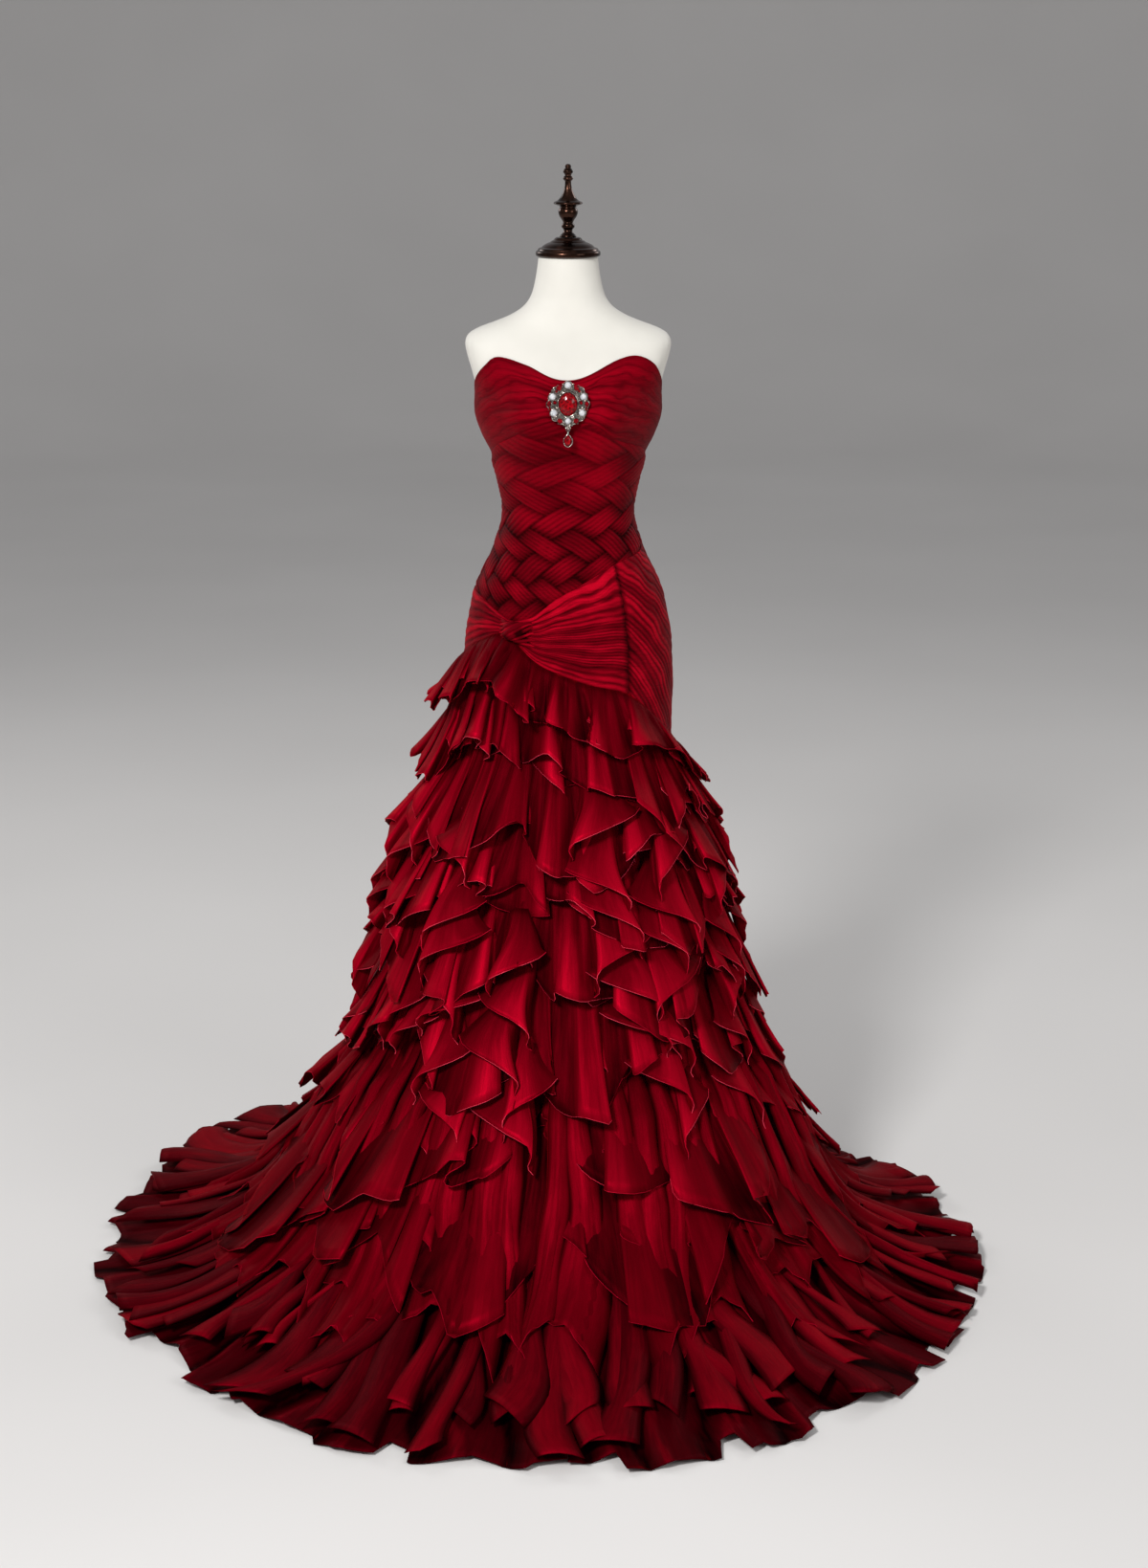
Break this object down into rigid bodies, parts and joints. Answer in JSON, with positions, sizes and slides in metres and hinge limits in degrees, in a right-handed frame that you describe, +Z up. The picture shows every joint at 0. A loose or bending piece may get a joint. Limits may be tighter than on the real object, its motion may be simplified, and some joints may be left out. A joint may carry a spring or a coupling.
{
  "type": "mermaid prom dress on a dress form",
  "caption": "Strapless mermaid gown with sweetheart neck, woven midriff, knotted hip drape, ruffle tiers and round train, on a limbless dress form and stand",
  "frame": {"origin": "middle of the stand's foot on the floor, under the dress form's axis", "axes": "+Z up along the dress form, the gown's front faces -Y, +X is the viewer's right"},
  "size_m": [1.4436, 1.4292, 1.7378],
  "materials": {
    "chiffon": "fine pleated chiffon with a soft sheen",
    "organza": "sheer organza with rolled edges",
    "form": "smooth off-white jersey cover",
    "bronze": "dark glossy bronze",
    "steel": "satin steel",
    "silver": "bright plated setting",
    "ruby": "cut red glass"
  },
  "bodies": {
    "gown_on_form": {"form_torso": "form", "neck_cap": "bronze", "finial": "bronze", "stand_pole": "steel", "stand_foot": "steel", "bust_left": "chiffon", "bust_right": "chiffon", "midriff_front": "chiffon", "back_left": "chiffon", "back_right": "chiffon", "hip_fan_left": "chiffon", "hip_fan_right": "chiffon", "hip_side_right": "chiffon", "hip_knot": "chiffon", "brooch_frame": "silver", "brooch_stone": "ruby", "skirt_yoke_1": "chiffon", "skirt_yoke_2": "chiffon", "skirt_yoke_3": "chiffon", "skirt_yoke_4": "chiffon", "train_panel_1": "organza", "train_panel_2": "organza", "train_panel_3": "organza", "train_panel_4": "organza", "train_panel_5": "organza", "train_panel_6": "organza", "ruffle_1_1": "organza", "ruffle_1_2": "organza", "ruffle_1_3": "organza", "ruffle_2_1": "organza", "ruffle_2_2": "organza", "ruffle_2_3": "organza", "ruffle_3_1": "organza", "ruffle_3_2": "organza", "ruffle_3_3": "organza", "ruffle_4_1": "organza", "ruffle_4_2": "organza", "ruffle_4_3": "organza", "ruffle_5_1": "organza", "ruffle_5_2": "organza", "ruffle_5_3": "organza", "ruffle_6_1": "organza", "ruffle_6_2": "organza", "ruffle_6_3": "organza", "ruffle_7_1": "organza", "ruffle_7_2": "organza", "ruffle_7_3": "organza", "ruffle_8_1": "organza", "ruffle_8_2": "organza", "ruffle_8_3": "organza"},
    "brooch_drop": {"brooch_drop": "ruby"}
  },
  "joints": [
    {"name": "brooch_drop_swing", "type": "hinge", "parent": "gown_on_form", "child": "brooch_drop", "pos_m": [0, -0.122, 1.359], "axis": [0, 1, 0], "range_deg": [-45, 45]}
  ]
}
